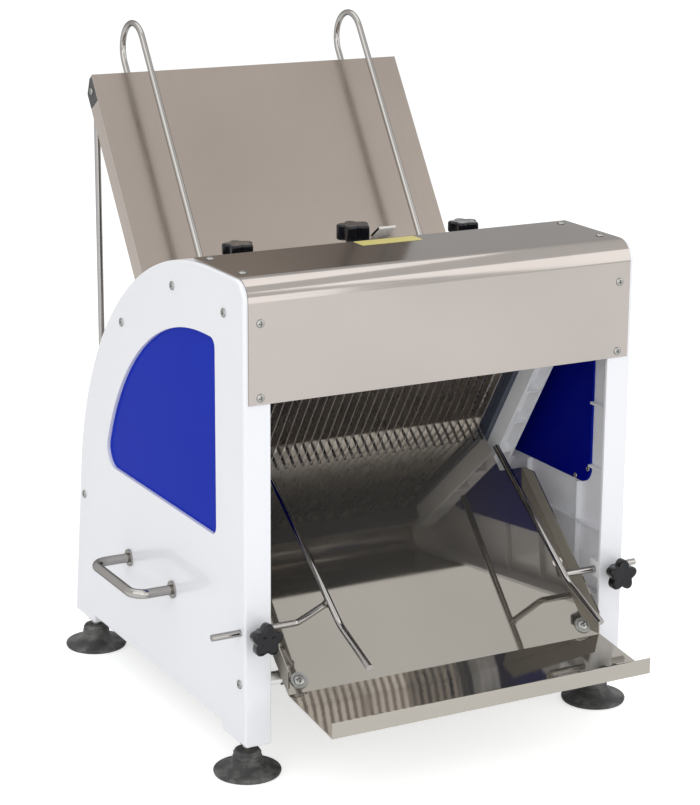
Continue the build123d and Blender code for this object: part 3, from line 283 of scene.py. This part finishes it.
def piece(name, bm, body, slot, *hidden):
    """A new smooth piece from a bmesh, riding on a body, in place of the hidden CAD nodes."""
    bmesh.ops.recalc_face_normals(bm, faces=bm.faces)
    mesh = bpy.data.meshes.new(name)
    bm.to_mesh(mesh)
    bm.free()
    mesh.shade_smooth()
    mesh.set_sharp_from_angle(angle=SHARP_ANGLE)
    mesh.materials.append(looks[slot])
    obj = bpy.data.objects.new(name, mesh)
    bpy.context.collection.objects.link(obj)
    if hidden:
        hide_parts(*hidden)
    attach(obj, body)
    return obj


def solids(node):
    """The points of each separate solid of a node, as lists of vectors."""
    bm = bmesh.new()
    bm.from_mesh(nodes[node].data)
    bmesh.ops.remove_doubles(bm, verts=bm.verts, dist=WELD_GAP)
    left = set(bm.verts)
    groups = []
    while left:
        todo = [left.pop()]
        group = []
        while todo:
            vert = todo.pop()
            group.append(vert.co.copy())
            for edge in vert.link_edges:
                other = edge.other_vert(vert)
                if other in left:
                    left.remove(other)
                    todo.append(other)
        groups.append(group)
    bm.free()
    return groups


def middle(points):
    """The middle of the box round some points."""
    low = Vector([min(p[i] for p in points) for i in range(3)])
    high = Vector([max(p[i] for p in points) for i in range(3)])
    return (low + high) / 2


def side_of(place):
    """1 on the machine's right, -1 on its left."""
    return 1 if place.x > 0 else -1


def facing(out):
    """A turn that takes +Z to the direction out."""
    return Vector(out).to_track_quat("Z", "Y").to_matrix().to_4x4()


def turns(steps):
    """Angles of equal steps round a full turn."""
    return [2 * math.pi * i / steps for i in range(steps)]


def circle(radius, height, steps):
    return [(radius * math.cos(a), radius * math.sin(a), height) for a in turns(steps)]


def bridge(bm, lower, upper):
    """A band of faces between two loops with the same number of points."""
    count = len(lower)
    for i in range(count):
        after = (i + 1) % count
        bm.faces.new((lower[i], lower[after], upper[after], upper[i]))


def skin(bm, place, rows):
    """Bands of faces through rows of points, each row a loop round the local Z axis. Gives the loops back."""
    loops = [[bm.verts.new(place @ Vector(p)) for p in row] for row in rows]
    for lower, upper in zip(loops, loops[1:]):
        bridge(bm, lower, upper)
    return loops


def capped(bm, place, rows):
    """A closed skin through rows of points, with flat ends."""
    loops = skin(bm, place, rows)
    bm.faces.new(list(reversed(loops[0])))
    bm.faces.new(loops[-1])


def turned(bm, place, profile, steps=64):
    """A turned form about the local Z axis, from points (radius, height)."""
    capped(bm, place, [circle(r, z, steps) for r, z in profile])


def hoop(bm, place, profile, steps):
    """A ring about the local Z axis, from points (radius, height) round its section."""
    loops = skin(bm, place, [circle(r, z, steps) for r, z in profile])
    bridge(bm, loops[-1], loops[0])


def arc(centre_r, centre_z, radius, start, stop, steps=6):
    """Points (radius, height) along a round edge, between two angles in degrees."""
    angles = [math.radians(start + (stop - start) * i / steps) for i in range(steps + 1)]
    return [(centre_r + radius * math.cos(a), centre_z + radius * math.sin(a)) for a in angles]


def cross_head(bm, place, radius, height):
    """A domed screw head with a cross recess, standing on the local XY plane."""
    steps = 48
    spans = 16
    sink = 0.3 * MM
    wall = height * 0.25
    dome_power = 2.6
    recess = radius * 0.55
    recess_slope = recess * 0.4
    arm = radius * 0.13
    depth = height * 0.7
    rows = [circle(radius, -sink, steps), circle(radius, wall, steps)]
    for k in range(1, spans):
        share = 1 - k / spans
        dome = wall + (height - wall) * math.sqrt(1 - share**dome_power)
        row = []
        for x, y, z in circle(radius * share, dome, steps):
            near, far = sorted((abs(x), abs(y)))
            if near < arm and far < recess:
                z -= depth * min(1.0, (recess - far) / recess_slope)
            row.append((x, y, z))
        rows.append(row)
    capped(bm, place, rows)


# the slide of the tray rises to the back by part.py's angle, and its screws stand square to it
tray_slope = math.radians(41.5)
tray_normal = Vector((0, -math.sin(tray_slope), math.cos(tray_slope)))
cover_low, cover_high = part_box("top_cover")
# cover screws nearer to its front than this are in the apron
apron_reach = 12 * MM


def screw_axis(node, centre):
    """The direction in which the head of a screw stands out, from its node and its place."""
    if node == "panel_screws":
        return Vector((side_of(centre), 0, 0))
    if node == "window_screws":
        # the windows are held from inside the machine
        return Vector((-side_of(centre), 0, 0))
    if node == "tray_screws":
        return tray_normal
    if centre.y < cover_low[1] + apron_reach:
        return Vector((0, -1, 0))
    return Vector((0, 0, 1))


def screw_set(name, node, head, radius_share=1.0, washer=0.0):
    """Domed heads of the given height in place of a screw node, each over a washer where there is one."""
    washer_sink = 0.2 * MM
    washer_bevel = 0.5 * MM
    washer_wall = washer * 0.6
    head_start = washer * 0.8
    bm = bmesh.new()
    for points in solids(node):
        centre = middle(points)
        out = screw_axis(node, centre)
        heights = [(p - centre).dot(out) for p in points]
        radius = max((p - centre - out * h).length for p, h in zip(points, heights))
        head_radius = radius * radius_share
        place = Matrix.Translation(centre + out * (max(heights) - head)) @ facing(out)
        if washer:
            wall = [(radius, -washer_sink), (radius, washer_wall)]
            top = [(radius - washer_bevel, washer), (head_radius, washer)]
            turned(bm, place, wall + top, steps=56)
            place = place @ Matrix.Translation((0, 0, head_start))
        cross_head(bm, place, head_radius, head - head_start)
    piece(name, bm, "machine", "screw_steel", node)


screw_set("window_screw_heads", "window_screws", head=2.0 * MM)
screw_set("panel_screw_heads", "panel_screws", head=2.5 * MM)
screw_set("cover_screw_heads", "cover_screws", head=2.0 * MM)
screw_set("tray_screw_heads", "tray_screws", head=3.5 * MM, radius_share=0.62, washer=1.6 * MM)


def star_row(tip, inset, height, share):
    """A loop of points round a star, set in from its outline and then scaled by a share."""
    lobes = 5
    points = 150
    # a power below 1 makes the lobes full
    fullness = 0.75
    valley = tip * 0.70
    row = []
    for a in turns(points):
        wave = ((1 + math.cos(lobes * a)) / 2) ** fullness
        r = (valley + (tip - valley) * wave - inset) * share
        row.append((r * math.cos(a), r * math.sin(a), height))
    return row


def star_knob(node, joint):
    """A moulded star knob with round edges on the axis of its turn joint, and the stud that carries it."""
    edge = 3.2 * MM
    edge_angle = 80
    dish = 0.5 * MM
    hub_radius = 9.0 * MM
    hub_length = 12 * MM
    hub_bevel = 1 * MM
    hub_flare = 1.5 * MM
    hub_sink = 2 * MM
    stud_bevel = 1 * MM
    tip_gap = 0.01 * MM
    axis_gap = 0.5 * MM
    axis = Vector(joints[joint]["axis"]).normalized()
    origin = Vector(joints[joint]["pos_m"])
    verts = [v.co - origin for v in nodes[node].data.vertices]
    along = [v.dot(axis) for v in verts]
    if abs(max(along)) < abs(min(along)):
        axis = -axis
        along = [-a for a in along]
    radial = [(v - axis * v.dot(axis)).length for v in verts]
    tip = max(radial)
    back = min(along)
    # only the star reaches this far from the axis
    star = [a for a, r in zip(along, radial) if r > tip * 0.7]
    low = min(star)
    high = max(star)
    # a lobe of the CAD knob gives the turn about the axis
    flat = facing(axis)
    lobe = flat.inverted() @ next(v for v, r in zip(verts, radial) if r > tip - tip_gap)
    place = Matrix.Translation(origin) @ flat @ Matrix.Rotation(math.atan2(lobe.y, lobe.x), 4, "Z")

    # levels of the star from its underside to its dished top: inset, height and share of the outline
    levels = [
        (0, low + edge / 2, 0.55),
        (1.6 * MM, low, 1),
        (0.4 * MM, low + 0.9 * MM, 1),
        (0, low + 2.2 * MM, 1),
    ]
    round_edge = arc(0, high - edge, edge, 0, edge_angle, 7)
    levels += [(edge - r, z, 1) for r, z in round_edge]
    top = round_edge[-1][1]
    levels += [(edge, top, 0.92), (edge, top, 0.7), (edge, top - dish, 0.5), (edge, top - dish, 0.25)]
    bm = bmesh.new()
    capped(bm, place, [star_row(tip, *level) for level in levels])
    hub_back = max(back, low - hub_length)
    hub_shoulder = max(back, low - hub_length + hub_bevel)
    hub_profile = [
        (hub_radius - hub_bevel, hub_back),
        (hub_radius, hub_shoulder),
        (hub_radius + hub_flare, low + hub_sink),
    ]
    turned(bm, place, hub_profile)
    piece(node.replace("_knob", "_star"), bm, node + "_body", "black_knob", node)

    # the stud is the thinnest part of the CAD knob, apart from points on its axis
    stud_radius = min(r for r in radial if r > axis_gap)
    stud_profile = [(stud_radius * 0.8, back), (stud_radius, back + stud_bevel), (stud_radius, low)]
    stud = bmesh.new()
    turned(stud, place, stud_profile, steps=24)
    piece(node + "_stud", stud, node + "_body", "rod_steel")


infeed_knobs = ("left_infeed_knob", "right_infeed_knob", "height_stop_knob")
clamp_knobs = ("left_clamp_knob", "right_clamp_knob")
for node in infeed_knobs + clamp_knobs:
    star_knob(node, node + "_turn")


def foot_profile(rim, top):
    """Points (radius, height) up a rubber foot: a wide flared rim, a stepped neck and a rounded top."""
    neck = 17 * MM
    rim_round = 2.2 * MM
    rim_height = 3.4 * MM
    flare = 6 * MM
    hollow_round = 4 * MM
    hollow_height = 16 * MM
    step_round = 0.8 * MM
    step_groove = 1.4 * MM
    groove_rise = 1.6 * MM
    top_round = 2 * MM
    top_inset = 3.4 * MM
    profile = [(rim - 3 * MM, 0), (rim - 1 * MM, 0.6 * MM)]
    profile += arc(rim - rim_round, rim_height, rim_round, -30, 80)
    profile += [(neck + 13 * MM, 8.2 * MM), (neck + flare, 11 * MM)]
    profile += arc(neck + flare, hollow_height, hollow_round, 250, 180)
    # each step narrows the neck: how far it stands out, and its height
    for out, height in ((1.6 * MM, 17 * MM), (0.8 * MM, 21.5 * MM), (0, 26 * MM)):
        profile += arc(neck + out - step_round, height, step_round, 0, 90, 4)
        profile += [(neck + out - step_groove, height + groove_rise)]
    profile += arc(neck - top_inset, top - top_round, top_round, 0, 90, 4)
    return profile


feet = bmesh.new()
for points in solids("feet"):
    centre = middle(points)
    rim = max(math.hypot(p.x - centre.x, p.y - centre.y) for p in points)
    top = max(p.z for p in points)
    turned(feet, Matrix.Translation((centre.x, centre.y, 0)), foot_profile(rim, top), steps=80)
piece("rubber_feet", feet, "machine", "foot_rubber", "feet")


def slab(bm, place, width, depth, height, corner, steps=6):
    """A flat plate with round corners on the local XY plane, its top edge a little eased."""
    ease = height * 0.3
    outline = []
    for k in range(4):
        x = (width / 2 - corner) * (1 if k in (0, 3) else -1)
        y = (depth / 2 - corner) * (1 if k in (0, 1) else -1)
        for i in range(steps + 1):
            a = math.radians(90 * k + 90 * i / steps)
            outline.append((x, y, math.cos(a), math.sin(a)))
    levels = ((corner, 0), (corner, height - ease), (corner - ease, height))
    capped(bm, place, [[(x + r * c, y + r * s, z) for x, y, c, s in outline] for r, z in levels])


# blank yellow label near the rear edge of the cover
label_width = 84 * MM
label_depth = 26 * MM
label_thickness = 0.25 * MM
label_corner = 3 * MM
label_left = 6 * MM
label_rear_gap = 2 * MM
label_sink = 0.02 * MM
label_back = cover_high[1] - label_rear_gap - label_depth / 2
label_place = Matrix.Translation((-label_left, label_back, cover_high[2] - label_sink))
label = bmesh.new()
slab(label, label_place, label_width, label_depth, label_thickness, label_corner)
label_piece = piece("blank_label", label, "machine", "column_white")
label_film = moulded("label_film", (0.58, 0.50, 0.13), 0.38, grain=300, peel=0.02, shine=0.4)
label_piece.data.materials[0] = label_film

# screw heads on the outer sides of the chute's top brackets
bracket_screw_radius = 4.5 * MM
bracket_screw_head = 2.2 * MM
face_depth = 0.1 * MM
bracket_screws = bmesh.new()
for points in solids("chute_brackets"):
    hand = side_of(middle(points))
    outer = max(p.x * hand for p in points)
    face = [p for p in points if p.x * hand > outer - face_depth]
    spot = Vector((outer * hand, sum(p.y for p in face) / len(face), sum(p.z for p in face) / len(face)))
    place = Matrix.Translation(spot) @ facing((hand, 0, 0))
    cross_head(bracket_screws, place, bracket_screw_radius, bracket_screw_head)
piece("bracket_screw_heads", bracket_screws, "machine", "screw_steel")


def weld_collar(bm, place, inner, outer, length):
    """A hollow-sided bead round a rod, wide at the local XY plane and flush with the rod at its end."""
    steps = 8
    profile = [(inner * 0.5, 0)]
    for k in range(steps + 1):
        flare = 1 - math.sin(math.pi / 2 * k / steps)
        profile.append((inner + (outer - inner) * flare, length * k / steps))
    profile.append((inner * 0.9, length))
    turned(bm, place, profile, steps=36)


# weld beads where the discharge guides' arms meet their bars, at part.py's arm sizes
rod_radius = 4 * MM
arm_inward = 26 * MM
arm_forward = 31 * MM
arm_up = 32 * MM
guide_axis_back = 12 * MM
weld_radius = rod_radius * 1.5
weld_start = rod_radius * 0.75
weld_length = 6 * MM
for hand, side in ((-1, "left"), (1, "right")):
    clamp = Vector(joints[side + "_clamp_knob_turn"]["pos_m"])
    low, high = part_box(side + "_discharge_guide")
    bar_x = high[0] - rod_radius if hand < 0 else low[0] + rod_radius
    joint = Vector((bar_x, clamp.y + guide_axis_back - arm_forward, clamp.z + arm_up))
    away = Vector((hand * arm_inward, arm_forward, -arm_up)).normalized()
    place = Matrix.Translation(joint + away * weld_start) @ facing(away)
    weld = bmesh.new()
    weld_collar(weld, place, rod_radius, weld_radius, weld_length)
    piece(side + "_guide_weld", weld, side + "_discharge_guide_body", "chrome_rod")

# plated rings round the push buttons
ring_gap = 0.6 * MM
ring_round = 2 * MM
ring_lift = 0.4 * MM
box_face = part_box("switch_box")[1][0]
bezels = bmesh.new()
for button in ("start_button", "stop_button"):
    low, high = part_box(button)
    centre = middle((low, high))
    inner = (high[1] - low[1]) / 2 + ring_gap
    place = Matrix.Translation((box_face, centre.y, centre.z)) @ facing((1, 0, 0))
    section = arc(inner + ring_round, ring_lift, ring_round, 0, 180, 10)
    hoop(bezels, place, section, steps=48)
piece("button_rings", bezels, "machine", "screw_steel")

# camera fitted to the photograph
camera_place = Vector((-1.38612, -2.559213, 1.18103))
camera_back = Vector((-0.45766, -0.84858, 0.26546))
camera_roll = math.radians(0.4)
camera_data = bpy.data.cameras.new("photo_camera")
camera_data.sensor_width = 36
camera_data.lens = 105.94
camera_data.clip_end = 100
camera = bpy.data.objects.new("photo_camera", camera_data)
bpy.context.collection.objects.link(camera)
camera_turn = facing(camera_back) @ Matrix.Rotation(camera_roll, 4, "Z")
camera.matrix_world = Matrix.Translation(camera_place) @ camera_turn
bpy.context.scene.camera = camera


def surface(tree, kind, color, strength=None):
    """A shader node of one color, with a strength where it gives light."""
    node = tree.nodes.new(kind)
    node.inputs["Color"].default_value = (*color, 1)
    if strength is not None:
        node.inputs["Strength"].default_value = strength
    return node.outputs[0]


def seen_ray(tree):
    """1 for the rays that show the background: from the camera, or by way of metal and glass."""
    path = tree.nodes.new("ShaderNodeLightPath")
    direct = math_node(tree, "ADD", path.outputs["Is Camera Ray"], path.outputs["Is Glossy Ray"])
    both = math_node(tree, "ADD", direct.outputs[0], path.outputs["Is Transmission Ray"])
    both.use_clamp = True
    return both.outputs[0]


def choose(tree, unseen, seen, output):
    """Puts one shader on the rays that show the background and the other on the rest."""
    mix = tree.nodes.new("ShaderNodeMixShader")
    tree.links.new(seen_ray(tree), mix.inputs[0])
    tree.links.new(unseen, mix.inputs[1])
    tree.links.new(seen, mix.inputs[2])
    out = tree.nodes.new(output)
    tree.links.new(mix.outputs[0], out.inputs["Surface"])


# pale floor that glows to white where it is seen and keeps a soft shadow
floor_reach = 30.0
floor_pale = (0.72, 0.72, 0.72)
floor_unseen = (0.8, 0.8, 0.8)
floor_glow = (1, 1, 0.99)
floor_glow_strength = 0.62
corners = [(x * floor_reach, y * floor_reach, 0) for x, y in ((-1, -1), (1, -1), (1, 1), (-1, 1))]
floor_mesh = bpy.data.meshes.new("floor")
floor_mesh.from_pydata(corners, [], [(0, 1, 2, 3)])
floor = bpy.data.objects.new("floor", floor_mesh)
bpy.context.collection.objects.link(floor)

floor_mat = bpy.data.materials.new("floor_pale")
floor_mat.use_nodes = True
tree = floor_mat.node_tree
tree.nodes.clear()
glowing = tree.nodes.new("ShaderNodeAddShader")
tree.links.new(surface(tree, "ShaderNodeBsdfDiffuse", floor_pale), glowing.inputs[0])
tree.links.new(surface(tree, "ShaderNodeEmission", floor_glow, floor_glow_strength), glowing.inputs[1])
plain = surface(tree, "ShaderNodeBsdfDiffuse", floor_unseen)
choose(tree, plain, glowing.outputs[0], "ShaderNodeOutputMaterial")
floor_mesh.materials.append(floor_mat)

# the world is white where it is seen and lights the part with a softer, cooler tone
world_light = (0.96, 0.98, 1)
world_light_strength = 0.55
world_seen = (1, 1, 1)
world = bpy.data.worlds.new("studio")
bpy.context.scene.world = world
world.use_nodes = True
tree = world.node_tree
tree.nodes.clear()
light_back = surface(tree, "ShaderNodeBackground", world_light, world_light_strength)
seen_back = surface(tree, "ShaderNodeBackground", world_seen, 1.0)
choose(tree, light_back, seen_back, "ShaderNodeOutputWorld")


def lamp(name, place, target, watts):
    """A square lamp of a size that makes it as bright as the white world, so that metal shows no glare."""
    data = bpy.data.lights.new(name, "AREA")
    data.size = math.sqrt(watts / math.pi)
    data.energy = watts
    obj = bpy.data.objects.new(name, data)
    bpy.context.collection.objects.link(obj)
    obj.location = place
    obj.rotation_euler = (Vector(target) - Vector(place)).to_track_quat("-Z", "Y").to_euler()


machine_middle = (0, 0, 0.4)
machine_mouth = (0, 0, 0.35)
lamp("key", (-2.9, -2.1, 2.8), machine_middle, watts=76)
lamp("fill", (2.8, -2.2, 1.8), machine_middle, watts=28)
lamp("top", (0.2, 0.8, 3.4), machine_middle, watts=28)
lamp("front", (0.6, -2.8, 0.8), machine_mouth, watts=4)
lamp("mouth", (-0.7, -2.8, 0.5), machine_mouth, watts=16)

bpy.context.scene.view_settings.view_transform = "Standard"
